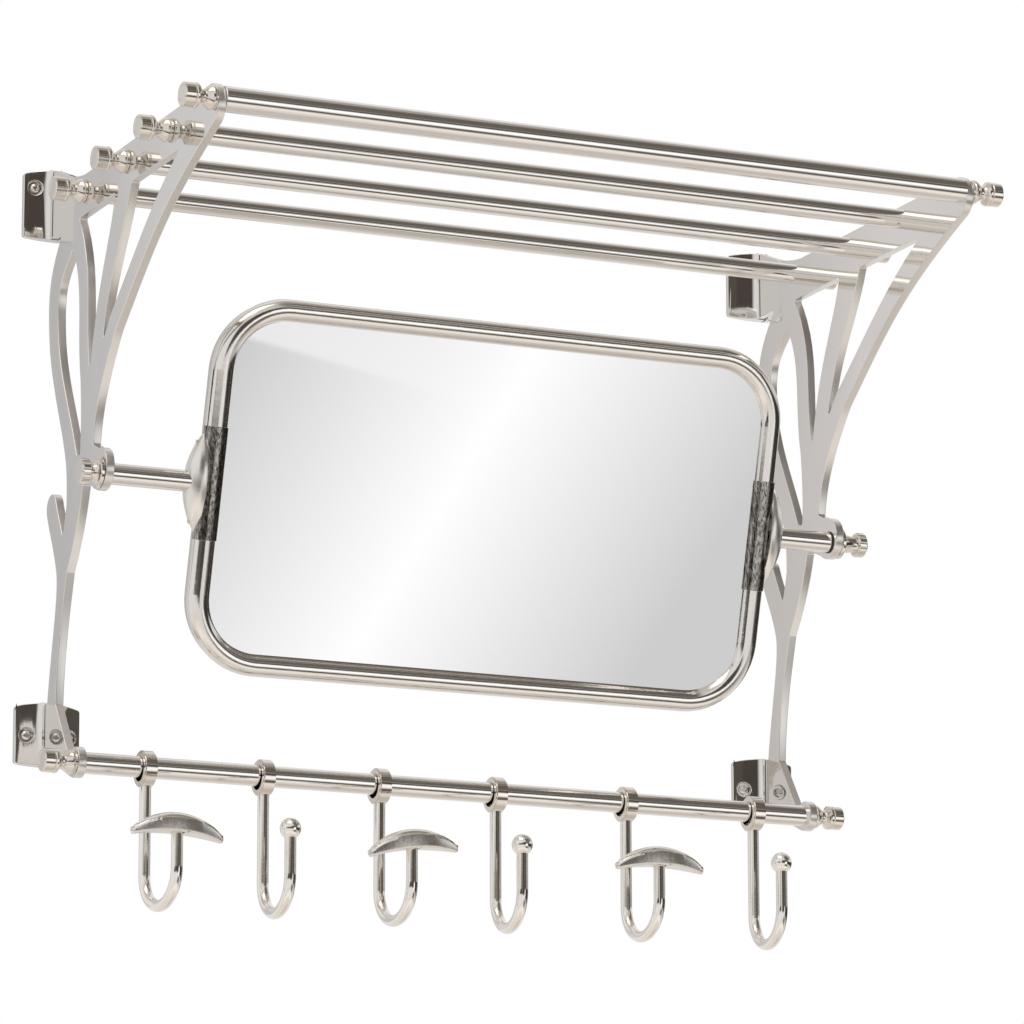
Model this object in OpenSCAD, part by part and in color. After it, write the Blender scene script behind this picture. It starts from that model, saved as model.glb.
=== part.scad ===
// Wall rack with a tilting mirror between two cast brackets, a shelf of four
// round bars above it and a rail with six sliding hooks below it.
// Millimetres, +Z up. The wall is the plane y = 0 and the rack stands out
// towards -Y. The origin is the middle of the outer wall screws.

/* [Rack] */
// Distance between the two brackets, centre to centre
bracket_gap = 640; // [600:5:720]
// Height between the upper and the lower wall screws
screw_drop = 450; // [440:1:470]

/* [Wall plates] */
// Width of each wall plate
plate_w = 54.5; // [52:0.5:62]
// Shift of the wall plates from the brackets towards the middle of the rack
plate_shift = 2; // [0:0.5:3]
// Thickness of the wall plates at their edges
plate_t = 5; // [4:0.5:7]
// Height of the upper wall plates
top_plate_h = 53; // [48:0.5:60]
// Height of the lower wall plates
low_plate_h = 46; // [42:1:50]
// Height of the upper plates' corners above their screws
screw_edge = 11.5; // [10:0.5:16]
// Rise of the plates' top edges from the corners to the middle
top_arch = 3.5; // [1:0.5:4]
// Drop of the plates' bottom edges from the corners to the middle
low_arch = 1.5; // [0.5:0.5:3]
// Radius of the plates' corners
plate_corner_r = 2.5; // [1:0.5:4]
// Radius of the shallow hollow along each flank of a plate
dish_r = 90; // [80:5:150]
// Distance between the two screws of a plate
screw_pair = 36; // [34:0.5:38]
// Diameter of the screw holes
screw_hole_d = 5.5; // [4.5:0.1:6.5]
// Diameter of the recess round each screw head
screw_seat_d = 12; // [10.5:0.5:13]
// Depth of that recess below the face of the plate
screw_seat_depth = 1; // [0.5:0.1:1.5]
// Radius of the fillet between plate and bracket
flare_r = 4; // [3:0.5:6]

/* [Brackets] */
// Thickness of the cast bracket
web_t = 7; // [6:0.5:9]
// Length of the level edges of the bracket at its wall plates
shoulder = 23; // [20:0.5:26]
// Height of the shelf arm, which also sets its rounded end
arm_h = 33.6; // [30:0.2:38]
// Distance from the front bar's axis to the end of the shelf arm
arm_over = 7.5; // [7:0.5:12]
// Height of the arm's middle above the origin
arm_z = 199.8; // [198:0.2:202]
// Radius of the boss round the mirror pivot
lobe_r = 17; // [15:0.2:19]
// Height of the boss centre above the pivot
lobe_rise = 3.7; // [2:0.1:5]
// Radius of the eye that carries the hook rail
eye_r = 12.3; // [11.5:0.1:14]
// Fillet radius in the crotches of the fretwork
crotch_r = 1.5; // [1:0.25:3]

/* [Shelf bars] */
// Reach of the front bar from the wall
front_reach = 371; // [366:0.5:373]
// Height of the bars above the origin
bar_z = 203; // [199:0.5:205]
// Distance from one bar to the next
bar_pitch = 95; // [92:0.5:98]
// Diameter of the front bar
front_bar_d = 20; // [18:0.5:22]
// Diameter of the three bars behind it
bar_d = 16; // [14:0.5:18]
// Wall thickness of the tubes
tube_wall = 1.5; // [1:0.1:2]

/* [Hook rail] */
// Reach of the hook rail from the wall
rail_reach = 82; // [78:0.5:86]
// Depth of the hook rail below the origin
rail_drop = 258; // [254:0.5:262]
// Diameter of the hook rail
rail_d = 17; // [15:0.5:18]

/* [Finials] */
// Diameter of the finial's bell next to the bracket
finial_bell_d = 20; // [18:0.5:22]
// Diameter of its neck
finial_neck_d = 11; // [9:0.2:13]
// Diameter of its knob
finial_knob_d = 19.6; // [18:0.2:21]
// Length of the bell, from the bracket to the neck
finial_bell_l = 9; // [8:0.5:12]
// Length of the neck
finial_neck_l = 3.5; // [3:0.5:6]
// Length of the knob with its end disc
finial_knob_l = 14; // [12:0.5:16]
// Length of the end disc
finial_disc_l = 9; // [7:0.5:10]
// Diameter of the threaded studs
stud_d = 6; // [5:0.5:6]
// Depth of each stud in its bar
stud_grip = 12; // [8:1:18]
// Length of the plug in each end of a bar
plug_l = 22; // [20:1:30]

/* [Mirror] */
// Outer width of the mirror frame
mirror_w = 500; // [440:1:510]
// Outer height of the mirror frame
mirror_h = 300; // [260:1:310]
// Distance of the mirror's middle to the right of the origin
mirror_shift = 9.6; // [0:0.2:12]
// Height of the mirror's middle above its pivots
mirror_rise = 0.8; // [0:0.1:5]
// Forward lean of the mirror's top, in degrees
mirror_tilt = 15.5; // [0:0.5:30]
// Diameter of the frame tube
frame_d = 18; // [16:0.5:18]
// Wall thickness of the frame tube
frame_wall = 1.2; // [1:0.1:2]
// Radius of the frame's corners at the middle of the tube
corner_r = 52; // [40:1:60]
// Thickness of the mirror glass
glass_t = 4; // [3:0.5:5]
// Thickness of the backing board
board_t = 2.5; // [2:0.5:3]
// Depth of the glass in the frame's groove
groove_depth = 3; // [2.5:0.25:3.5]
// Height of the back tray behind the frame
tray_h = 6; // [4:0.5:8]
// Sheet thickness of the back tray
tray_wall = 1; // [0.8:0.1:1.5]

/* [Mirror pivots] */
// Reach of the pivots from the wall
pivot_reach = 133; // [130:0.5:136]
// Depth of the pivots below the origin
pivot_drop = 37; // [35:0.5:40]
// Diameter of the pivot tubes
shaft_d = 17; // [15:0.5:18]
// Outer diameter of the sleeves round the frame
sleeve_d = 19.8; // [19.6:0.2:22]
// Length of the sleeves
sleeve_l = 90; // [88:1:110]
// Length of the almond-shaped ears
ear_l = 80; // [72:1:84]
// Thickness of the ears at the pivot
ear_d = 25; // [22:0.5:27]
// Distance from the frame tube's axis to the outermost point of an ear
ear_out = 22; // [20:0.5:25]
// Diameter of the rivets at the ends of the ears
rivet_d = 4; // [3:0.5:5]
// Thickness of the friction washers
washer_t = 1; // [0.8:0.1:1.5]
// Diameter of the friction washers
washer_d = 18; // [16:0.5:22]

/* [Thumb knobs] */
// Diameter of the fluted grip
grip_d = 20; // [18:0.5:23]
// Length of the fluted grip
grip_l = 8; // [7:0.5:12]
// Diameter of the collar against the bracket
collar_d = 26; // [24:0.5:28]
// Length of the collar
collar_l = 3.5; // [3:0.5:5]
// Length of the left knob's neck, between collar and grip
left_neck_l = 6; // [4:0.5:14]
// Length of the right knob's neck
right_neck_l = 13.5; // [4:0.5:14]
// Number of flutes round the grip
flutes = 16; // [12:1:20]

/* [Hooks] */
// Distance of each hook from the middle of the rail
hook_x = [-263.4, -163.7, -63.9, 37.7, 153.9, 269.7];
// Diameter of the hook wire
wire_d = 9.4; // [8:0.2:10]
// Radius of the hook's bend at the middle of the wire
bend_r = 27; // [24:0.5:30]
// Depth of the bend's centre below the rail
bend_drop = 86; // [80:1:92]
// Height of the hook's tip above the bend's centre
tip_rise = 34; // [28:1:40]
// Diameter of the ball tips
ball_d = 17; // [15:0.5:20]
// Outer diameter of the rings
ring_od = 29; // [28:0.5:31]
// Inner diameter of the rings
ring_id = 20; // [19:0.25:21]
// Width of the rings
ring_w = 10.5; // [8:0.5:12]
// Turn of each hook about its upright wire, in degrees
hook_turn = [7, 1.5, 5.5, -1, 4, -2];
// Width of the hat rests from tip to tip
rest_w = 80; // [74:1:84]
// Rise of the hat rests' top above the bottom of their tips
rest_rise = 21; // [20:0.5:23]
// Thickness of the hat rests in the middle
rest_t = 16; // [14:0.5:17]
// Thickness of their tips
rest_tip_t = 5; // [4:0.5:6]
// Depth of the hat rests from front to back
rest_depth = 20; // [18:0.5:22]
// Sideways lean of each hat rest, in degrees
rest_lean = [-1, 7, 1];

/* [Fits] */
// Radial clearance of the studs in the brackets
stud_play = 0.25; // [0.15:0.05:0.4]
// Radial clearance of parts that turn on each other
turn_play = 0.06; // [0.04:0.01:0.09]
// Gap between faces that turn past each other
face_play = 0.2; // [0.1:0.05:0.4]
// Gap between a ring and the top of the rail
ring_play = 0.1; // [0.08:0.02:0.3]
// Gap round glass, board and sleeves
seat_play = 0.05; // [0.03:0.01:0.1]

/* [Hidden] */
$fn = 64;

nickel = [0.84, 0.82, 0.79];
cast_nickel = [0.72, 0.70, 0.70];
silver_glass = [0.86, 0.88, 0.90];
board_brown = [0.45, 0.36, 0.27];
fibre_red = [0.42, 0.16, 0.12];

// Places in the side plane, as [reach from the wall, height]
pivot = [pivot_reach, -pivot_drop];
rail = [rail_reach, -rail_drop];
boss = pivot + [-2.5, lobe_rise];
arm_tip = [front_reach + arm_over - arm_h / 2, arm_z];
top_edge_z = screw_drop / 2 + screw_edge;
top_plate_z = top_edge_z - top_plate_h;
low_plate_z = -screw_drop / 2 - low_plate_h / 2;
low_edge_z = low_plate_z + low_plate_h;

// Places along the bars
inner_face = bracket_gap / 2 - web_t / 2;
outer_face = bracket_gap / 2 + web_t / 2;
bar_reach = [for (i = [3:-1:0]) front_reach - i * bar_pitch];
bar_names = ["1", "2", "3", "front"];
stud_bore_d = stud_d + 2 * stud_play;

// Mirror frame, measured to the middle of its tube
half_w = mirror_w / 2 - frame_d / 2;
half_h = mirror_h / 2 - frame_d / 2;
glass_inset = frame_d / 2 - groove_depth;
groove_front = glass_t / 2 + seat_play;
groove_back = glass_t / 2 + board_t + 2 * seat_play;
tray_edge = frame_d / 2 - 2.5;
tray_front = sqrt(pow(frame_d / 2, 2) - pow(tray_edge - tray_wall, 2)) + seat_play;

function lerp(a, b, t) = a + (b - a) * t;
function bezier(p, t) =
    pow(1 - t, 3) * p[0] + 3 * t * pow(1 - t, 2) * p[1] + 3 * t * t * (1 - t) * p[2] + pow(t, 3) * p[3];
function bezier_slope(p, t) =
    3 * pow(1 - t, 2) * (p[1] - p[0]) + 6 * t * (1 - t) * (p[2] - p[1]) + 3 * t * t * (p[3] - p[2]);
function curve(p, steps = 12) = [for (i = [0:steps]) bezier(p, i / steps)];
function beside(p, t, gap) =
    let (s = bezier_slope(p, t)) bezier(p, t) + gap * [-s[1], s[0]] / norm(s);

// A limb of the fretwork: a strip of changing width along a curve
module limb(p, widths, steps = 12) {
    near = [for (i = [0:steps]) beside(p, i / steps, bezier(widths, i / steps) / 2)];
    far = [for (i = [steps:-1:0]) beside(p, i / steps, -bezier(widths, i / steps) / 2)];
    polygon(concat(near, far));
}

// Stands a drawing of [reach, height] in the side plane, centred on x = 0
module side_plate(thickness) {
    rotate([90, 0, -90]) linear_extrude(thickness, center = true) children();
}

// Moves children to a place in the side plane, with their own Z along X
module along_x(place) {
    translate([0, -place[0], place[1]]) rotate([0, 90, 0]) children();
}

// ---- Brackets

module shelf_arm_outline() {
    under = arm_z - arm_h / 2;
    top = arm_z + arm_h / 2;
    polygon([[0, under], [arm_tip[0], under], [arm_tip[0], top], [0, top]]);
    translate(arm_tip) circle(arm_h / 2);
    crest = top_edge_z + top_arch - 0.5;
    polygon(concat(
        [[0, arm_z], [0, crest], [plate_t, crest]],
        curve([[shoulder - 8, crest - 1], [shoulder + 12, crest - 9], [shoulder + 33, top + 3],
            [shoulder + 66, top]]),
        [[shoulder + 66, arm_z]]
    ));
}

module fretwork_outline() {
    crown = [0, arm_z - arm_h / 2];
    knee = pivot + [24, 115.6];
    waist = pivot + [-32, 25];
    calf = pivot + [-83, -58];
    root = [28, low_edge_z - 2];
    loop_back = [22, lerp(pivot[1], crown[1], 0.58)];
    loop_front = waist + [-6, 61.5];
    fork = knee + [-39, -28];
    // Long front strut from the arm's end down to the waist
    limb([arm_tip + [3, -3], arm_tip + [-106, -43], knee + [74, 55], knee], [25.6, 22.5, 17, 19]);
    limb([knee, knee + [-27, -29], waist + [7, 37], waist], [19, 18, 24, 28]);
    // Front strut of the loop
    limb([crown + [62, 0], crown + [103, -52], loop_front + [-12.5, 50], loop_front], [24, 20, 20, 21]);
    limb([loop_front, loop_front + [2.5, -19], waist + [-1, 24], waist + [-2, 0]], [21, 22, 24, 26]);
    // Rear strut of the loop
    limb([crown + [60, -4], crown + [24, -33], loop_back + [-8.5, 52], loop_back], [33, 27, 22, 21]);
    limb([loop_back, loop_back + [8, -36], waist + [-48, 34], waist + [-37, 4]], [21, 19, 20, 23]);
    limb([waist + [-37, 4], waist + [-32, -8], waist + [-30, -22], waist + [-32, -40]], [23, 26, 28, 26]);
    // Middle strut
    limb([crown + [0.492 * arm_tip[0], 5], crown + [0.45 * arm_tip[0], -41], fork + [15, 75], fork], [36, 25, 21, 24]);
    limb([fork, fork + [-3, -14], waist + [8, 30], waist + [3, 8]], [24, 24, 24, 24]);
    // Stem down to the lower wall plate
    limb([waist + [-20, 0], waist + [-24, -33], calf + [16, 23], calf], [38, 36, 28, 25]);
    limb([calf + [-2, 0], calf + [-1, -22], root + [5, 50], root], [28, 14, 14, 20]);
    // Leaf-shaped tail behind the stem
    tail_tip = pivot + [-112, -5.5];
    limb([tail_tip, tail_tip + [5, -14], calf + [-11.5, 23], calf + [-4.5, -1.5]], [22, 22, 23, 21]);
    translate(tail_tip) circle(11);
    // Boss of the mirror pivot
    limb([waist + [-14, -8], waist + [2, -9], waist + [14, -16], boss], [36, 34, 29, 33]);
    translate(boss) circle(lobe_r);
}

module foot_outline() {
    heel = [shoulder + 13, low_edge_z];
    polygon(concat(
        [[0, low_edge_z + top_arch / 2], [shoulder - 8, low_edge_z + top_arch / 2]],
        curve([heel, heel + [10, -14], rail + [-20, 18], rail + [-13, 9]]),
        [rail],
        curve([rail + [-4, -11.6], rail + [-16, -8], [shoulder + 21, low_plate_z - 5],
            [shoulder - 2, low_plate_z]]),
        [[0, low_plate_z]]
    ));
    translate(rail) circle(eye_r);
}

module web_outline() {
    offset(r = -crotch_r, $fn = 24) offset(r = crotch_r, $fn = 24) {
        shelf_arm_outline();
        fretwork_outline();
        foot_outline();
    }
}

// Outline of a wall plate: four gently bowed edges and rounded corners
module plate_outline(z0, z1) {
    w = plate_w / 2;
    bow = plate_w / 4;
    offset(r = plate_corner_r) offset(delta = -plate_corner_r) polygon(concat(
        curve([[-w, z1], [-bow, z1 + 4 / 3 * top_arch], [bow, z1 + 4 / 3 * top_arch], [w, z1]], 8),
        curve([[w, z0], [bow, z0 - 4 / 3 * low_arch], [-bow, z0 - 4 / 3 * low_arch], [-w, z0]], 8)
    ));
}

// Section of a wall plate: a shallow hollow in each flank, fillets to the web
module plate_section(web_x) {
    edge = plate_w / 2;
    low_x = edge - 0.09 * dish_r;
    low_y = plate_t - dish_r * (1 - cos(asin(0.09)));
    fillet_y = plate_t + 0.1;
    difference() {
        translate([-edge, -plate_t - 1]) square([plate_w, plate_t + 1]);
        for (s = [-1, 1]) translate([s * low_x, -low_y - dish_r]) circle(dish_r, $fn = 256);
    }
    translate([web_x, 0]) difference() {
        half = web_t / 2 + flare_r;
        translate([-half, -fillet_y - flare_r]) square([2 * half, fillet_y + flare_r]);
        for (s = [-1, 1]) translate([s * half, -fillet_y - flare_r]) circle(flare_r);
    }
}

// Wall plate between the corner heights z0 and z1, with its web at web_x
module wall_plate(z0, z1, web_x) {
    intersection() {
        translate([0, 0, z0 - 10]) linear_extrude(z1 - z0 + 20) plate_section(web_x);
        rotate([90, 0, 0]) linear_extrude(plate_t + 2 * flare_r) plate_outline(z0, z1);
    }
}

module wall_screw_hole(x, z) {
    translate([x, 1, z]) rotate([90, 0, 0]) cylinder(d = screw_hole_d, h = 2 * shoulder);
    translate([x, -plate_t + screw_seat_depth, z]) rotate([90, 0, 0])
        cylinder(d = screw_seat_d, h = shoulder);
}

module bracket(side) {
    inward = -side * plate_shift;
    color(cast_nickel) translate([side * bracket_gap / 2, 0, 0]) difference() {
        union() {
            side_plate(web_t) web_outline();
            translate([inward, 0, 0]) wall_plate(top_plate_z, top_edge_z, -inward);
            translate([inward, 0, 0]) wall_plate(low_plate_z, low_edge_z, -inward);
        }
        for (x = [-screw_pair / 2, screw_pair / 2], z = [-screw_drop / 2, screw_drop / 2])
            wall_screw_hole(inward + x, z);
        for (place = concat([for (u = bar_reach) [u, bar_z]], [rail, pivot]))
            along_x(place) cylinder(d = stud_bore_d, h = 2 * web_t, center = true);
    }
}

// ---- Bars and finials

module tube(d, length) {
    difference() {
        cylinder(d = d, h = length, center = true);
        cylinder(d = d - 2 * tube_wall, h = length + 2, center = true);
    }
}

module shelf_bar(i) {
    color(nickel) along_x([bar_reach[i], bar_z]) tube(i == 3 ? front_bar_d : bar_d, 2 * inner_face);
}

module hook_rail() {
    color(nickel) along_x(rail) tube(rail_d, 2 * inner_face);
}

module end_plug(d) {
    difference() {
        cylinder(d = d - 2 * tube_wall, h = plug_l);
        translate([0, 0, -1]) cylinder(d = stud_d + 2 * seat_play, h = plug_l + 2);
    }
}

module bar_end_plugs() {
    color("darkkhaki") for (side = [-1, 1]) {
        for (i = [0:3]) along_x([bar_reach[i], bar_z]) mirror([0, 0, side < 0 ? 1 : 0])
            translate([0, 0, inner_face - plug_l]) end_plug(i == 3 ? front_bar_d : bar_d);
        along_x(rail) mirror([0, 0, side < 0 ? 1 : 0])
            translate([0, 0, inner_face - plug_l]) end_plug(rail_d);
    }
}

// Turned finial standing on z = 0, with its stud below
module finial() {
    neck_z = finial_bell_l;
    knob_z = neck_z + finial_neck_l;
    end_z = knob_z + finial_knob_l;
    disc_z = end_z - finial_disc_l;
    bell_r = finial_bell_d / 2;
    neck_r = finial_neck_d / 2;
    knob_r = finial_knob_d / 2;
    rotate_extrude() polygon(concat(
        [[0, 0], [bell_r - 1.6, 0]],
        curve([[bell_r - 1.6, 0.8], [bell_r + 1.3, 1.6], [bell_r - 0.5, 0.6 * neck_z], [neck_r, neck_z]]),
        curve([[neck_r, neck_z + 0.6], [neck_r, knob_z - 0.6], [knob_r - 3, knob_z - 0.4],
            [knob_r - 0.4, knob_z + 1.6]], 8),
        [[knob_r, knob_z + 2.6], [knob_r, disc_z - 1.2], [knob_r - 0.9, disc_z - 0.4], [knob_r - 0.9, disc_z]],
        [[knob_r - 0.3, disc_z + 0.6], [knob_r - 0.3, end_z - 1], [knob_r - 1.3, end_z], [knob_r - 3, end_z],
            [knob_r - 3.6, end_z - 0.5], [0, end_z - 0.5]]
    ));
    translate([0, 0, -web_t - stud_grip]) cylinder(d = stud_d, h = web_t + stud_grip + 1);
}

module finial_at(place, side) {
    color(nickel) along_x(place) mirror([0, 0, side < 0 ? 1 : 0]) translate([0, 0, outer_face]) finial();
}

// ---- Mirror, built upright about its pivot and then leaned forward

module leaned(rise = 0) {
    translate([mirror_shift, -pivot[0], pivot[1]]) rotate([mirror_tilt, 0, 0])
        translate([0, 0, rise]) children();
}

// Section of the frame tube: X runs outwards from the mirror, Y to the back
module frame_section() {
    difference() {
        circle(d = frame_d);
        circle(d = frame_d - 2 * frame_wall);
        translate([-frame_d, -groove_front]) square([frame_d - glass_inset, groove_front + groove_back]);
    }
}

module mirror_frame() {
    color(nickel) leaned(mirror_rise) rotate([90, 0, 0]) mirror([0, 0, 1]) {
        for (sx = [0, 1], sy = [0, 1]) mirror([sx, 0, 0]) mirror([0, sy, 0])
            translate([half_w - corner_r, half_h - corner_r, 0])
                rotate_extrude(angle = 90) translate([corner_r, 0]) frame_section();
        for (s = [0, 1]) mirror([s, 0, 0]) translate([half_w, -(half_h - corner_r), 0])
            rotate([-90, 0, 0]) linear_extrude(2 * (half_h - corner_r)) mirror([0, 1]) frame_section();
        for (s = [0, 1]) mirror([0, s, 0]) translate([-(half_w - corner_r), half_h, 0])
            rotate([90, 0, 90]) linear_extrude(2 * (half_w - corner_r)) frame_section();
    }
}

// A rounded plate parallel to the glass, its edge at a distance from the
// tube's middle line, between two depths behind that line
module rounded_plate(edge, back0, back1) {
    w = half_w + edge;
    h = half_h + edge;
    r = corner_r + edge;
    translate([0, back0, 0]) rotate([-90, 0, 0]) linear_extrude(back1 - back0) {
        square([2 * w, 2 * (h - r)], center = true);
        square([2 * (w - r), 2 * h], center = true);
        for (sx = [-1, 1], sy = [-1, 1]) translate([sx * (w - r), sy * (h - r)]) circle(r);
    }
}

module mirror_glass() {
    color(silver_glass) leaned(mirror_rise)
        rounded_plate(-glass_inset - seat_play, -glass_t / 2, glass_t / 2);
}

module backing_board() {
    color(board_brown) leaned(mirror_rise)
        rounded_plate(-glass_inset - seat_play, glass_t / 2 + seat_play, glass_t / 2 + seat_play + board_t);
}

module back_tray() {
    tray_back = tray_front + tray_h;
    color(nickel) leaned(mirror_rise) difference() {
        rounded_plate(tray_edge, tray_front, tray_back);
        rounded_plate(tray_edge - tray_wall, tray_front - 1, tray_back - tray_wall);
        for (s = [-1, 1]) translate([s * half_w, 0, -mirror_rise])
            cylinder(d = sleeve_d + 4 * seat_play, h = sleeve_l + 4 * seat_play, center = true);
        for (s = [-1, 1]) translate([s * (half_w + 7 + frame_d / 2), 0, -mirror_rise])
            cube([frame_d + 2 * (7 - tray_edge) + 4 * seat_play, 60, ear_l + 2], center = true);
    }
}

module frame_sleeve(side) {
    color(nickel) leaned() translate([side * half_w, 0, 0]) difference() {
        cylinder(d = sleeve_d, h = sleeve_l, center = true);
        cylinder(d = frame_d + 2 * seat_play, h = sleeve_l + 2, center = true);
        translate([side > 0 ? -sleeve_d : 0, -groove_front - seat_play, -sleeve_l])
            cube([sleeve_d, groove_front + groove_back + 2 * seat_play, 2 * sleeve_l]);
    }
}

// Almond-shaped ear on the outer side of a sleeve
module pivot_ear(side) {
    round_r = (pow(ear_l / 2, 2) + pow(ear_d / 2, 2)) / ear_d;
    axis_x = ear_out - ear_d / 2;
    color(nickel) leaned() translate([side * half_w, 0, 0]) difference() {
        translate([side * axis_x, 0, 0]) rotate_extrude() intersection() {
            translate([ear_d / 2 - round_r, 0]) circle(round_r, $fn = 128);
            translate([0, -ear_l / 2]) square([ear_d, ear_l]);
        }
        cylinder(d = sleeve_d + 2 * seat_play, h = ear_l + 2, center = true);
        translate([side > 0 ? 7 - 2 * ear_d : -7, -ear_d, -ear_l]) cube([2 * ear_d, 2 * ear_d, 2 * ear_l]);
        rotate([0, side * 90, 0]) cylinder(d = shaft_d + 2 * seat_play, h = 2 * ear_out);
        for (z = [-1, 1]) translate([0, 0, z * rivet_height()]) rotate([0, side * 90, 0])
            cylinder(d = rivet_d + 2 * seat_play, h = 2 * ear_out);
    }
}

function rivet_height() = ear_l / 2 - 2.2 * rivet_d;

module ear_rivets() {
    for (side = [-1, 1], z = [-1, 1])
        color(nickel) leaned() translate([side * half_w, 0, z * rivet_height()]) rotate([0, side * 90, 0])
            translate([0, 0, sleeve_d / 2 + 2 * seat_play]) cylinder(d = rivet_d, h = 5);
}

module pivot_tube(side) {
    seat = sleeve_d / 2 + 4 * seat_play;
    start_x = side * mirror_shift + half_w + seat;
    end_x = inner_face - washer_t - 2 * face_play;
    color(nickel) along_x(pivot) mirror([0, 0, side < 0 ? 1 : 0]) difference() {
        translate([0, 0, start_x]) cylinder(d = shaft_d, h = end_x - start_x);
        translate([0, 0, end_x - stud_grip - 4]) cylinder(d = stud_d + 2 * turn_play, h = stud_grip + 5);
    }
}

module friction_washer(side) {
    color(fibre_red) along_x(pivot) mirror([0, 0, side < 0 ? 1 : 0])
        translate([0, 0, inner_face - washer_t]) difference() {
            cylinder(d = washer_d, h = washer_t);
            translate([0, 0, -1]) cylinder(d = stud_bore_d, h = washer_t + 2);
        }
}

// Thumb knob standing on z = 0, with its stud below
module knob_body(neck_l) {
    neck_z = collar_l + neck_l;
    end_z = neck_z + grip_l;
    difference() {
        rotate_extrude() polygon(concat(
            [[0, 0], [collar_d / 2 - 0.8, 0], [collar_d / 2, 0.8], [collar_d / 2, collar_l - 0.8],
                [collar_d / 2 - 0.8, collar_l]],
            curve([[collar_d / 2 - 3, collar_l], [stud_d + 2, collar_l + 0.5], [stud_d, neck_z - 2],
                [stud_d + 1, neck_z]], 8),
            [[grip_d / 2 - 1, neck_z], [grip_d / 2, neck_z + 1], [grip_d / 2, end_z - 1.2],
                [grip_d / 2 - 1.2, end_z], [0, end_z]]
        ));
        for (i = [0:flutes - 1]) rotate(i * 360 / flutes) translate([grip_d / 2 + 0.5, 0, neck_z - 1])
            cylinder(d = 2.4, h = grip_l + 2, $fn = 16);
    }
    translate([0, 0, -web_t - stud_grip]) cylinder(d = stud_d, h = web_t + stud_grip + 1);
}

module thumb_knob(side) {
    color(nickel) along_x(pivot) mirror([0, 0, side < 0 ? 1 : 0])
        translate([0, 0, outer_face + face_play]) knob_body(side < 0 ? left_neck_l : right_neck_l);
}

// ---- Hooks, drawn at x = 0 and moved along the rail

hang = (ring_id - rail_d) / 2 - ring_play;
ring_place = rail - [0, hang];
bend_place = rail + [bend_r, -bend_drop];
tip_place = bend_place + [bend_r, tip_rise];

module on_hook(i) {
    translate([hook_x[i - 1], 0, 0]) children();
}

// A hook is turned a little about the upright below its ring
module turned_hook(i) {
    on_hook(i) translate([0, -rail[0], 0]) rotate(hook_turn[i - 1]) translate([0, rail[0], 0]) children();
}

module hook_ring(i) {
    color(nickel) on_hook(i) along_x(ring_place) difference() {
        union() {
            cylinder(d = ring_od, h = ring_w - 2, center = true);
            cylinder(d = ring_od - 2, h = ring_w, center = true);
        }
        cylinder(d = ring_id, h = ring_w + 2, center = true);
    }
}

module wire_straight(place, z0, z1) {
    translate([0, -place[0], z0]) cylinder(d = wire_d, h = z1 - z0);
}

module hook_wire(i) {
    seat_z = ring_place[1] - ring_od / 2;
    color(nickel) difference() {
        turned_hook(i) {
            wire_straight(rail, bend_place[1], seat_z + 2);
            translate([0, -bend_place[0], bend_place[1]]) rotate([90, 0, 90]) rotate([0, 0, 180])
                rotate_extrude(angle = 180) translate([bend_r, 0]) circle(d = wire_d);
            wire_straight(tip_place, bend_place[1], tip_place[1]);
        }
        on_hook(i) along_x(ring_place) cylinder(d = ring_od + 2 * turn_play, h = 4 * ring_w, center = true);
    }
}

module ball_tip(i) {
    color(nickel) turned_hook(i) translate([0, -tip_place[0], tip_place[1]]) difference() {
        translate([0, 0, 0.12 * ball_d]) sphere(d = ball_d);
        translate([0, 0, -ball_d]) cylinder(d = wire_d, h = ball_d);
        translate([0, 0, -ball_d - 0.32 * ball_d]) cylinder(d = ball_d, h = ball_d);
    }
}

// Hat rest with its top at z = 0: an arched bar, round on top and
// leaf-shaped seen from above
module rest_body() {
    half = rest_w / 2;
    top_rise = rest_rise - rest_tip_t;
    top_r = (half * half + top_rise * top_rise) / (2 * top_rise);
    low_rise = rest_rise - rest_t;
    low_r = (half * half + low_rise * low_rise) / (2 * low_rise);
    leaf_half = 1.15 * half;
    leaf_r = (leaf_half * leaf_half + rest_depth * rest_depth / 4) / rest_depth;
    bar_w = rest_depth + 2;
    intersection() {
        difference() {
            translate([0, 0, -top_r]) rotate([90, 0, 0]) rotate([0, 0, 30]) rotate_extrude(angle = 120) {
                translate([top_r - bar_w / 2, 0]) circle(bar_w / 2);
                translate([top_r - rest_rise - 8, -bar_w / 2]) square([rest_rise + 8 - bar_w / 2, bar_w]);
            }
            translate([0, 0, -rest_t - low_r]) rotate([90, 0, 0])
                cylinder(r = low_r, h = 2 * rest_depth, center = true, $fn = 128);
        }
        translate([0, 0, -2 * rest_rise]) linear_extrude(3 * rest_rise) intersection() {
            translate([0, leaf_r - rest_depth / 2]) circle(leaf_r);
            translate([0, rest_depth / 2 - leaf_r]) circle(leaf_r);
            square([rest_w, 2 * rest_depth], center = true);
        }
    }
}

module hat_rest(i) {
    color(nickel) turned_hook(i) translate([0, -tip_place[0], tip_place[1]]) difference() {
        rotate([0, -rest_lean[(i - 1) / 2], 0]) translate([0, 0, 0.53 * rest_t]) rest_body();
        translate([0, 0, -rest_t]) cylinder(d = wire_d, h = rest_t);
    }
}

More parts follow.
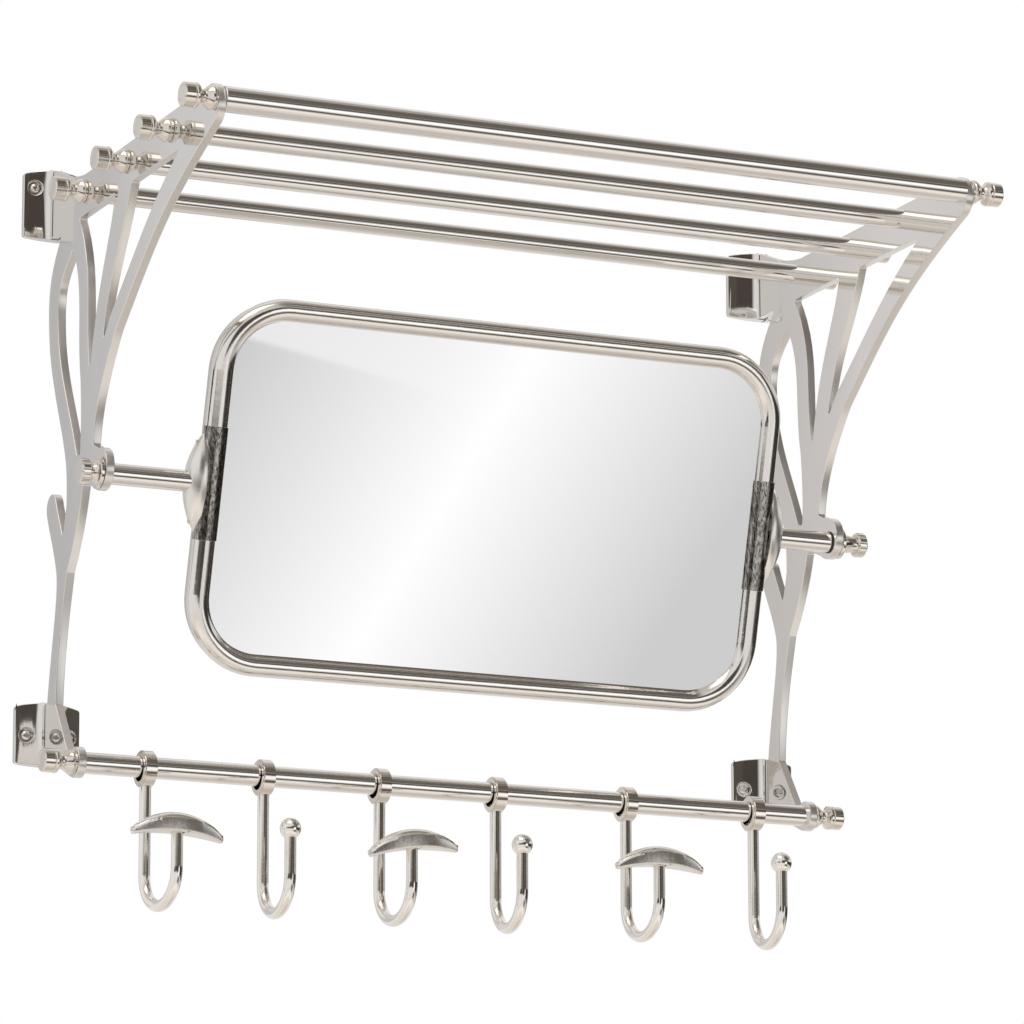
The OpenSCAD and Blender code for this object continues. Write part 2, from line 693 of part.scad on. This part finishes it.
bracket(-1);  // left_bracket
bracket(1);  // right_bracket
for (i = [0:3]) shelf_bar(i);
hook_rail();
bar_end_plugs();
for (i = [0:3]) {
    finial_at([bar_reach[i], bar_z], -1);
    finial_at([bar_reach[i], bar_z], 1);
}
finial_at(rail, -1);  // finial_rail_left
finial_at(rail, 1);  // finial_rail_right
mirror_frame();
mirror_glass();
backing_board();
back_tray();
ear_rivets();
frame_sleeve(-1);  // frame_sleeve_left
frame_sleeve(1);  // frame_sleeve_right
pivot_ear(-1);  // pivot_ear_left
pivot_ear(1);  // pivot_ear_right
pivot_tube(-1);  // pivot_tube_left
pivot_tube(1);  // pivot_tube_right
friction_washer(-1);  // friction_washer_left
friction_washer(1);  // friction_washer_right
thumb_knob(-1);  // thumb_knob_left
thumb_knob(1);  // thumb_knob_right
for (i = [1:6]) hook_ring(i);
for (i = [1:6]) hook_wire(i);
for (i = [2:2:6]) ball_tip(i);
for (i = [1:2:5]) hat_rest(i);
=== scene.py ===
import math

import bpy
from mathutils import Matrix, Vector


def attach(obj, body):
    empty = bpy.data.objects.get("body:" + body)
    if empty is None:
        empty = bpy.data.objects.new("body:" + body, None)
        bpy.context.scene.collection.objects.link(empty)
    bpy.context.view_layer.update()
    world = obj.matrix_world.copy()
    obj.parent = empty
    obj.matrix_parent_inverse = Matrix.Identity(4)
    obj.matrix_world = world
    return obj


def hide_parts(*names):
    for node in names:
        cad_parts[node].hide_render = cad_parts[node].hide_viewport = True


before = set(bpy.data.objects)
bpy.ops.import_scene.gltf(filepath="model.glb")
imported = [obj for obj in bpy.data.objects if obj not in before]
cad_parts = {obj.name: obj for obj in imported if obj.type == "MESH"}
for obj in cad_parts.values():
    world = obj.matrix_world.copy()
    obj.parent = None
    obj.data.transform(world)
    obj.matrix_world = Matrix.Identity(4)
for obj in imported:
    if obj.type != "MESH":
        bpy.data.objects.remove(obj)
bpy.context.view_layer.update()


# ---- The camera
# The rack is seen from the left and from below, through a long lens aimed
# straight at its middle.

camera_data = bpy.data.cameras.new("camera")
camera_data.sensor_width = 36.0
camera_data.lens = 201.6747
camera_data.clip_end = 50.0
camera = bpy.data.objects.new("camera", camera_data)
camera.location = (-1.834066, -4.243876, -1.033775)
camera.rotation_euler = [math.radians(a) for a in (102.455017, 0.110449, -24.363235)]
bpy.context.collection.objects.link(camera)
bpy.context.scene.camera = camera
bpy.context.scene.view_settings.view_transform = "Standard"


# ---- The light tent
# A white room with a pale floor and one soft lamp above. What polished metal
# sees is a tent of light panels and darker cloths, painted on by direction.

class Wire:
    """One value in a shader, which plain arithmetic turns into maths nodes."""

    def __init__(self, tree, socket):
        self.tree = tree
        self.socket = socket

    def maths(self, operation, other=None, flip=False):
        node = self.tree.nodes.new("ShaderNodeMath")
        node.operation = operation
        for slot, value in zip(node.inputs, (other, self) if flip else (self, other)):
            if isinstance(value, Wire):
                self.tree.links.new(value.socket, slot)
            elif value is not None:
                slot.default_value = value
        return Wire(self.tree, node.outputs[0])

    def __add__(self, other):
        return self.maths("ADD", other)

    def __sub__(self, other):
        return self.maths("SUBTRACT", other)

    def __mul__(self, other):
        return self.maths("MULTIPLY", other)

    def __truediv__(self, other):
        return self.maths("DIVIDE", other)

    def __rsub__(self, other):
        return self.maths("SUBTRACT", other, flip=True)

    def __abs__(self):
        return self.maths("ABSOLUTE")

    __radd__ = __add__
    __rmul__ = __mul__


class Shader:
    """A node tree for a material or for the room, with one method that makes any node."""

    def __init__(self, name, room=None):
        self.material = room or bpy.data.materials.new(name)
        self.material.use_nodes = True
        self.tree = self.material.node_tree
        self.surface = self.tree.nodes.get("Background" if room else "Principled BSDF")
        self.output = self.tree.nodes.get("Material Output")

    def node(self, kind, settings=None, values=None, out=0):
        node = self.tree.nodes.new("ShaderNode" + kind)
        for key, value in (settings or {}).items():
            if key == "stops":
                ramp = node.color_ramp
                while len(ramp.elements) < len(value):
                    ramp.elements.new(0.5)
                for element, (place, colour) in zip(ramp.elements, value):
                    element.position = place
                    element.color = (*colour, 1)
            else:
                setattr(node, key, value)
        for key, value in (values or {}).items():
            if isinstance(value, Wire):
                self.tree.links.new(value.socket, node.inputs[key])
            else:
                node.inputs[key].default_value = value
        return Wire(self.tree, node.outputs[out])

    def feed(self, socket, wire):
        self.tree.links.new(wire.socket, self.surface.inputs[socket])

    def fix(self, **values):
        for name, value in values.items():
            self.surface.inputs[name.replace("_", " ")].default_value = value

    def colour(self, factor, first, second):
        self.feed("Base Color", self.mixed(factor, first, second))

    def relief(self, strength, distance, height):
        values = {"Strength": strength, "Distance": distance, "Height": height}
        self.feed("Normal", self.node("Bump", values=values))

    def place(self):
        return self.node("TexCoord", out=3)

    def facing(self):
        """The way a surface faced when its edges had been broken."""
        return self.node("Attribute", {"attribute_name": "facing"}, out=1)

    def part(self, vector, number):
        return self.node("SeparateXYZ", values={"Vector": vector}, out=number)

    def rise(self, value, start, end):
        values = {"Value": value, "From Min": start, "From Max": end}
        return self.node("MapRange", {"interpolation_type": "SMOOTHSTEP"}, values)

    def stretched(self, place, scale):
        return self.node("Mapping", values={"Vector": place, "Scale": scale})

    def noise(self, place, scale, detail=3.0, roughness=0.55):
        values = {"Vector": place, "Scale": scale, "Detail": detail, "Roughness": roughness}
        return self.node("TexNoise", values=values)

    def mixed(self, factor, first, second):
        values = {0: factor, 6: first, 7: second}
        return self.node("Mix", {"data_type": "RGBA"}, values, out=2)


degrees = 180.0 / math.pi
world = bpy.data.worlds.new("white_room")
bpy.context.scene.world = world
room = Shader("white_room", world)
ray = room.node("TexCoord", out=0)
across = room.part(ray, 0).maths("ARCTAN2", 0.0 - room.part(ray, 1)) * degrees
height = room.part(ray, 2).maths("ARCSINE") * degrees


def paint(tone, colour, left, right, low, high, soft, soft_up=None):
    """Lays a soft-edged panel over the tone; the edges are angles in degrees."""
    upright = soft_up or soft
    sides = room.rise(across, left - soft, left + soft)
    sides = sides * (1.0 - room.rise(across, right - soft, right + soft))
    ends = room.rise(height, low - upright, low + upright)
    ends = ends * (1.0 - room.rise(height, high - upright, high + upright))
    return room.mixed(sides * ends, tone, (*colour, 1))


# Each panel: its colour, its left, right, lower and upper edge, and how far
# the edges are blurred sideways and, where that differs, up and down.
panels = [
    ((1.02, 0.97, 0.90), -95, 75, -56, -38, 12, 7),        # warm light from below
    ((0.66, 0.61, 0.555), -140, 10, 36, 95, 10),           # grey over the left side
    ((0.66, 0.615, 0.565), 66, 200, -95, -54, 12),         # grey low on the right
    ((0.60, 0.56, 0.515), 34, 78, -36, -12, 6),            # grey flat beside the strip
    ((0.44, 0.41, 0.375), 14, 112, 24, 80, 12, 4),         # dim cloth over the right
    ((0.15, 0.132, 0.115), 15, 74, 21, 60, 6, 3),          # dark cloth inside it
    ((0.075, 0.063, 0.053), -22, 17, -8, 21, 4, 3),        # dark cloth in front
    ((0.10, 0.085, 0.072), 8, 58, 6, 20, 3, 2),            # dark cloth for the plates
    ((0.042, 0.036, 0.03), 40, 125, -14, 9, 5, 3),         # black flag on the right
    ((1.28, 1.275, 1.27), 15, 33, -15, 3, 2, 2),           # bright strip
    ((0.15, 0.13, 0.11), 12, 50, -36, -20, 5, 3),          # dark cloth under the strip
]
low_tone, high_tone = (0.84, 0.785, 0.725, 1), (0.86, 0.855, 0.85, 1)
tone = room.mixed(room.rise(height, -34.0, -20.0), low_tone, high_tone)
for panel in panels:
    tone = paint(tone, *panel)

# What the mirror glass sees: a pale wall with one slanting gleam, and a
# slightly paler wedge above a thin line.
grey, bright, wedge = (0.70, 0.70, 0.70, 1), (1.15, 1.15, 1.15, 1), (1.14, 1.14, 1.14, 1)
aside = across - 24.5 - 0.36 * (height + 14.7)
gleam = room.mixed(1.0 - abs(aside) / 2.8, grey, bright)
over_line = room.rise(height + 14.72 + 0.07 * (across - 21.8), -0.02, 0.02)
over_line = over_line * (1.0 - room.rise(across, 21.8, 25.0))
gleam = room.mixed(0.52 * over_line, gleam, wedge)
window = room.rise(across, 19.0, 20.0) * (1.0 - room.rise(across, 29.0, 30.0))
window = window * room.rise(height, -19.2, -18.4) * (1.0 - room.rise(height, -13.4, -12.6))
tone = room.mixed(window, tone, gleam)

# Gloss sees the tent; the camera and soft light see the white room.
in_gloss = room.node("LightPath", out=3)
room.feed("Color", room.mixed(in_gloss, (1, 1, 1, 1), tone))
room.fix(Strength=1.0)


def deselect():
    for thing in bpy.context.selected_objects:
        thing.select_set(False)


def stage_card(name, size, place):
    """An upright card with its face towards the rack, seen by metal and glass only."""
    deselect()
    bpy.ops.mesh.primitive_plane_add(size=1, location=place, rotation=(math.radians(90), 0, 0))
    card = bpy.context.object
    card.name = name
    card.scale = (size[0], size[1], 1)
    bpy.ops.object.transform_apply(location=True, rotation=True, scale=True)
    card.visible_camera = False
    card.visible_shadow = False
    card.visible_diffuse = False
    shade = Shader(name)
    card.data.materials.append(shade.material)
    return shade, shade.place()


def glow(shade, colour):
    shine = shade.node("Emission", values={"Color": colour, "Strength": 1.0})
    shade.tree.links.new(shine.socket, shade.output.inputs["Surface"])


deselect()
bpy.ops.mesh.primitive_plane_add(size=12, location=(0, -0.5, -2.2))
floor = bpy.context.object
floor.name = "floor"
floor.visible_glossy = False
floor_shade = Shader("pale_floor")
floor_place = floor_shade.place()
floor_grain = floor_shade.noise(floor_place, 3.0, 2.0)
floor_shade.colour(floor_grain, (0.86, 0.84, 0.81, 1), (0.88, 0.86, 0.83, 1))
floor_shade.fix(Roughness=0.9)
floor.data.materials.append(floor_shade.material)

# A cloth in front on the left, dark below and pale above, with light slits.
left_card, left_place = stage_card("cloth_front_left", (2.16, 0.33), (-1.32, -0.80, -0.245))
left_fade = left_card.rise(left_card.part(left_place, 2), -0.27, -0.09)
left_slits = left_card.noise(left_card.stretched(left_place, (11.0, 1.0, 0.7)), 1.0, 3.0)
slit = left_card.rise(left_slits, 0.52, 0.72)
left_tone = left_card.mixed(slit, (0.06, 0.05, 0.042, 1), (0.34, 0.31, 0.28, 1))
glow(left_card, left_card.mixed(left_fade, left_tone, (0.80, 0.77, 0.735, 1)))

# A grey card behind the wall plane, which the flat webs of the brackets mirror.
back_width = 0.95
back_middle = -0.30
back_card, back_place = stage_card("card_behind", (back_width, 1.5), (back_middle, 0.70, 0.30))
back_stops = [
    (0.0, (0.72, 0.715, 0.72)),
    (0.08, (0.72, 0.715, 0.72)),
    (0.20, (0.56, 0.555, 0.56)),
    (0.55, (0.78, 0.76, 0.76)),
    (0.62, (0.78, 0.76, 0.76)),
    (0.80, (0.60, 0.58, 0.57)),
]
along = (back_card.part(back_place, 0) - (back_middle - back_width / 2)) / back_width
back_tone = back_card.node("ValToRGB", {"stops": back_stops}, {"Fac": along})
glow(back_card, back_tone)

lamp_place = Vector((-0.9, -1.0, 1.9))
lamp_aim = Vector((0, -0.1, 0))
lamp_data = bpy.data.lights.new("softbox", "AREA")
lamp_data.shape = "RECTANGLE"
lamp_data.size = 1.6
lamp_data.size_y = 1.2
lamp_data.energy = 7.0
lamp = bpy.data.objects.new("softbox", lamp_data)
lamp.location = lamp_place
lamp.rotation_euler = (lamp_place - lamp_aim).to_track_quat("Z", "Y").to_euler()
bpy.context.collection.objects.link(lamp)


# ---- The two brackets
# Each is one casting: a flat fretwork web that flares into an upper and a
# lower wall plate. It is ground, buffed to a mirror and nickel plated.

cast = Shader("buffed_nickel_casting")
cast_place = cast.place()
cast_cloud = cast.noise(cast_place, 9.0, 3.0)
cast_specks = cast.noise(cast_place, 260.0, 2.0)
cast.colour(cast_cloud, (0.76, 0.74, 0.715, 1), (0.80, 0.78, 0.755, 1))
cast_side = abs(cast.part(cast.facing(), 0))
cast_edge = 1.0 - cast.rise(cast_side, 0.35, 0.75)
cast_edge = cast_edge * (1.0 - cast.rise(cast.part(cast_place, 1), -0.022, -0.012))
cast.feed("Roughness", 0.045 + 0.05 * cast_cloud * cast_cloud + 0.24 * cast_edge)
cast_waves = cast.noise(cast_place, 13.0, 1.0)
cast_height = 0.9 * cast_waves + 0.10 * cast_cloud + 0.01 * cast_specks
cast.relief(0.32, 0.002, cast_height)
cast.fix(Metallic=1.0)


web_from_middle = 0.320
web_half = 0.0037
plate_half = 0.0275
plate_face_y = -0.0092
screw_seat_y = -0.0041
weld_gap = 0.0003
sharp_corner = math.radians(38)


def coat(node_name, shade):
    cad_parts[node_name].material_slots[0].material = shade.material


def finished(node_name, piece_name, edge, body, shade, web_x=None, steps=2):
    """A part as it leaves the buffing wheel, with its sharp edges broken.

    Given the web's place, the face of a wall plate rises towards the web.
    """
    coat(node_name, shade)
    deselect()
    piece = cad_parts[node_name].copy()
    piece.data = piece.data.copy()
    piece.name = piece_name
    bpy.context.collection.objects.link(piece)
    piece.select_set(True)
    bpy.context.view_layer.objects.active = piece
    bpy.ops.mesh.customdata_custom_splitnormals_clear()
    bpy.ops.object.mode_set(mode="EDIT")
    bpy.ops.mesh.select_all(action="SELECT")
    bpy.ops.mesh.remove_doubles(threshold=weld_gap)
    bpy.ops.mesh.mark_sharp(clear=True)
    bpy.ops.mesh.dissolve_limited(angle_limit=math.radians(0.5))
    bpy.ops.object.mode_set(mode="OBJECT")
    if web_x is not None:
        for vertex in piece.data.vertices:
            place = vertex.co
            aside = abs(place.x - web_x)
            if plate_face_y < place.y < screw_seat_y and aside > web_half:
                place.y *= 1.0 + max(0.0, 1.0 - aside / plate_half)
    rounding = piece.modifiers.new("broken_edges", "BEVEL")
    rounding.width = edge
    rounding.segments = steps
    rounding.limit_method = "ANGLE"
    rounding.angle_limit = sharp_corner
    rounding.use_clamp_overlap = False
    bpy.ops.object.modifier_apply(modifier=rounding.name)
    bpy.ops.object.shade_smooth_by_angle(angle=sharp_corner)
    evening = piece.modifiers.new("even_faces", "WEIGHTED_NORMAL")
    evening.keep_sharp = True
    bpy.ops.object.modifier_apply(modifier=evening.name)
    facing = piece.data.attributes.new("facing", "FLOAT_VECTOR", "CORNER")
    for corner, normal in zip(facing.data, piece.data.corner_normals):
        corner.vector = normal.vector
    piece.material_slots[0].material = shade.material
    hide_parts(node_name)
    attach(piece, body)


for side in ("left", "right"):
    web_x = -web_from_middle if side == "left" else web_from_middle
    finished(side + "_bracket", side + "_casting", 0.0007, "rack", cast, web_x)


# ---- The shelf bars and the hook rail
# Drawn tubes, polished along their length and nickel plated, with a plastic
# plug pushed into each end to take the stud of a finial.

drawn = Shader("polished_nickel_tube")
drawn_place = drawn.place()
drawn_cloud = drawn.noise(drawn_place, 14.0, 3.0)
drawn_lines = drawn.noise(drawn.stretched(drawn_place, (6.0, 900.0, 900.0)), 1.0, 2.0)
drawn.colour(drawn_cloud, (0.79, 0.772, 0.748, 1), (0.83, 0.811, 0.786, 1))
drawn.feed("Roughness", 0.06 + 0.05 * drawn_cloud + 0.03 * drawn_lines)
drawn.relief(0.04, 0.0006, drawn_lines)
drawn.fix(Metallic=1.0)

for bar in ("shelf_bar_1", "shelf_bar_2", "shelf_bar_3", "shelf_bar_front", "hook_rail"):
    coat(bar, drawn)

moulded = Shader("moulded_plug")
moulded_grain = moulded.noise(moulded.place(), 400.0, 3.0)
moulded.colour(moulded_grain, (0.36, 0.33, 0.26, 1), (0.42, 0.38, 0.30, 1))
moulded.feed("Roughness", 0.5 + 0.15 * moulded_grain)
coat("bar_end_plugs", moulded)


# ---- The finials
# Ten turned knobs, one at each end of every bar. They are turned from rod,
# so their fine lines run round them, then polished and nickel plated.

turned = Shader("turned_nickel")
turned_place = turned.place()
turned_cloud = turned.noise(turned_place, 30.0, 3.0)
turned_lines = turned.noise(turned.stretched(turned_place, (2600.0, 40.0, 40.0)), 1.0, 2.0)
turned.colour(turned_cloud, (0.70, 0.66, 0.605, 1), (0.80, 0.765, 0.715, 1))
turned.feed("Roughness", 0.055 + 0.05 * turned_cloud + 0.03 * turned_lines)
turned.relief(0.05, 0.0004, turned_lines)
turned.fix(Metallic=1.0)

for side in ("left", "right"):
    for bar in ("1", "2", "3", "front", "rail"):
        coat("finial_" + bar + "_" + side, turned)


# ---- The mirror
# A slotted tube bent round the glass and a fibre board, closed behind by a
# shallow sheet tray. Glass and board sit in the slot of the tube.

bent = Shader("bent_nickel_tube")
bent_place = bent.place()
bent_cloud = bent.noise(bent_place, 38.0, 3.0)
bent_pits = bent.noise(bent_place, 190.0, 3.0)
bent.colour(bent_cloud, (0.77, 0.745, 0.712, 1), (0.83, 0.808, 0.778, 1))
bent.feed("Roughness", 0.07 + 0.09 * bent_cloud)
bent_height = 0.8 * bent_cloud + 0.16 * bent_pits
bent.relief(0.16, 0.0012, bent_height)
bent.fix(Metallic=1.0)
coat("mirror_frame", bent)

silvered = Shader("silvered_glass")
silvered_cloud = silvered.noise(silvered.place(), 2.5, 2.0)
silvered.colour(silvered_cloud, (0.862, 0.862, 0.862, 1), (0.876, 0.876, 0.876, 1))
silvered.feed("Roughness", 0.012 + 0.006 * silvered_cloud)
silvered.fix(Metallic=1.0)
coat("mirror_glass", silvered)

pressed = Shader("pressed_board")
pressed_place = pressed.place()
pressed_fibres = pressed.noise(pressed.stretched(pressed_place, (140.0, 140.0, 420.0)), 1.0, 4.0)
pressed.colour(pressed_fibres, (0.16, 0.105, 0.06, 1), (0.29, 0.205, 0.125, 1))
pressed.feed("Roughness", 0.75 + 0.15 * pressed_fibres)
pressed.relief(0.3, 0.0008, pressed_fibres)
coat("backing_board", pressed)

folded = Shader("brushed_nickel_sheet")
folded_place = folded.place()
folded_lines = folded.noise(folded.stretched(folded_place, (5.0, 1500.0, 1500.0)), 1.0, 3.0)
folded_cloud = folded.noise(folded_place, 6.0, 3.0)
folded.colour(folded_cloud, (0.66, 0.64, 0.60, 1), (0.72, 0.695, 0.655, 1))
folded.feed("Roughness", 0.24 + 0.14 * folded_lines)
folded.relief(0.12, 0.0005, folded_lines)
folded.fix(Metallic=1.0)
coat("back_tray", folded)


# ---- The mirror's pivots
# A sleeve round each side of the frame, drawn and streaked, its colour darkened
# with painted reflection bands, an almond-shaped ear riveted and brazed to it,
# and a tube out to the bracket.

streaked = Shader("sleeve_with_painted_reflection")
streaked_place = streaked.place()
streak_and_reflection_noise = streaked.noise(streaked.stretched(streaked_place, (900.0, 900.0, 22.0)), 1.0, 3.0, 0.65)
streak_cloud = streaked.noise(streaked_place, 60.0, 3.0)
# Painted reflection: the colour runs from near black to mid grey in lengthwise bands, standing in
# for dark surroundings mirrored along the sleeve; the same noise also gives the real drawing
# streaks their roughness and relief.
painted_reflection_mask = streaked.rise(streak_and_reflection_noise, 0.36, 0.66)
streaked.colour(painted_reflection_mask, (0.10, 0.09, 0.08, 1), (0.56, 0.535, 0.505, 1))
streaked.feed("Roughness", 0.10 + 0.20 * streak_and_reflection_noise * streak_cloud)
streak_height = 0.8 * streak_and_reflection_noise + 0.3 * streak_cloud
streaked.relief(0.22, 0.0006, streak_height)
streaked.fix(Metallic=1.0)

fibre = Shader("vulcanised_fibre")
fibre_grain = fibre.noise(fibre.place(), 500.0, 3.0)
fibre.colour(fibre_grain, (0.035, 0.026, 0.021, 1), (0.06, 0.044, 0.036, 1))
fibre.feed("Roughness", 0.55 + 0.2 * fibre_grain)

satin = Shader("satin_nickel_casting")
satin_place = satin.place()
satin_cloud = satin.noise(satin_place, 55.0, 3.0)
satin_specks = satin.noise(satin_place, 420.0, 2.0)
satin.colour(satin_cloud, (0.80, 0.775, 0.74, 1), (0.87, 0.845, 0.805, 1))
satin.feed("Roughness", 0.20 + 0.16 * satin_cloud)
satin_height = 0.7 * satin_cloud + 0.2 * satin_specks
satin.relief(0.12, 0.0008, satin_height)
satin.fix(Metallic=1.0)

for side in ("left", "right"):
    sleeve = "frame_sleeve_" + side
    finished(sleeve, "drawn_sleeve_" + side, 0.0004, "mirror", streaked)
    coat("pivot_ear_" + side, satin)
    coat("pivot_tube_" + side, drawn)
    coat("friction_washer_" + side, fibre)
coat("ear_rivets", turned)


# ---- The thumb knobs
# Turned collars with fluted grips, screwed through the bracket into the
# pivot tube. Tightening them holds the mirror at its angle.

for side in ("left", "right"):
    coat("thumb_knob_" + side, turned)


# ---- The hooks
# Six bent wires brazed to rings that ride on the rail. Three end in a ball
# and three in an arched rest for a hat, all polished and nickel plated.

wire = Shader("polished_nickel_wire")
wire_place = wire.place()
wire_cloud = wire.noise(wire_place, 40.0, 3.0)
wire_specks = wire.noise(wire_place, 160.0, 1.0)
wire.colour(wire_cloud, (0.83, 0.80, 0.76, 1), (0.90, 0.87, 0.83, 1))
wire.feed("Roughness", 0.07 + 0.07 * wire_cloud)
wire.relief(0.05, 0.0004, wire_specks)
wire.fix(Metallic=1.0)

crown = Shader("hand_filed_casting")
crown_place = crown.place()
crown_cloud = crown.noise(crown_place, 70.0, 3.0)
crown_specks = crown.noise(crown_place, 520.0, 3.0, 0.7)
crown_below = 1.0 - crown.rise(crown.part(crown.facing(), 2), -0.35, 0.15)
crown.colour(crown_cloud, (0.80, 0.765, 0.72, 1), (0.90, 0.87, 0.83, 1))
crown.feed("Roughness", 0.17 + 0.08 * crown_cloud + 0.14 * crown_below)
crown_height = 0.5 * crown_cloud + 0.8 * crown_below * crown_specks
crown.relief(0.30, 0.0009, crown_height)
crown.fix(Metallic=1.0)

for number in range(1, 7):
    coat("hook_ring_%d" % number, turned)
    coat("hook_wire_%d" % number, wire)
    if number % 2:
        rest, body = "hat_rest_%d" % number, "hook_%d" % number
        finished(rest, "hat_crown_%d" % number, 0.0022, body, crown, steps=4)
    else:
        coat("ball_tip_%d" % number, wire)


# ---- The wall screws
# Eight raised-head screws with a cross recess hold the plates to the wall.
# They are stamped steel, nickel plated like the rest.

screw_head_r = 0.0039
screw_face_y = -0.0040
head_flatness = 0.55
recess_long = 0.0043
recess_wide = 0.0011
recess_deep = 0.0024
plate_middle = 0.318
screw_row = 0.225
half_pair = 0.018
deselect()
bpy.ops.mesh.primitive_uv_sphere_add(segments=32, ring_count=16, radius=screw_head_r)
screw = bpy.context.object
screw.name = "wall_screw"
bpy.ops.object.mode_set(mode="EDIT")
bpy.ops.mesh.select_all(action="SELECT")
bpy.ops.mesh.bisect(plane_co=(0, 0, 0), plane_no=(0, 1, 0), clear_outer=True, use_fill=True)
bpy.ops.mesh.select_all(action="SELECT")
bpy.ops.transform.resize(value=(1, head_flatness, 1))
bpy.ops.object.mode_set(mode="OBJECT")
for slot_x, slot_z in ((recess_long, recess_wide), (recess_wide, recess_long)):
    deselect()
    bpy.ops.mesh.primitive_cube_add(size=1, location=(0, -0.0026, 0))
    cutter = bpy.context.object
    cutter.scale = (slot_x, recess_deep, slot_z)
    cut = screw.modifiers.new("recess", "BOOLEAN")
    cut.operation = "DIFFERENCE"
    cut.object = cutter
    deselect()
    screw.select_set(True)
    bpy.context.view_layer.objects.active = screw
    bpy.ops.object.modifier_apply(modifier=cut.name)
    bpy.data.objects.remove(cutter)
bpy.ops.object.mode_set(mode="EDIT")
bpy.ops.mesh.select_all(action="SELECT")
bpy.ops.mesh.normals_make_consistent(inside=False)
bpy.ops.object.mode_set(mode="OBJECT")
bpy.ops.object.shade_smooth_by_angle(angle=math.radians(35))
screw.data.materials.append(turned.material)

for side, middle in (("left", -plate_middle), ("right", plate_middle)):
    for row, screw_z in (("upper", screw_row), ("lower", -screw_row)):
        for place, offset in (("outer", half_pair), ("inner", -half_pair)):
            copy = screw.copy()
            copy.data = screw.data.copy()
            copy.name = "wall_screw_" + row + "_" + side + "_" + place
            screw_x = middle + (offset if middle > 0 else -offset)
            copy.data.transform(Matrix.Translation((screw_x, screw_face_y, screw_z)))
            bpy.context.collection.objects.link(copy)
            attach(copy, "rack")
bpy.data.objects.remove(screw)
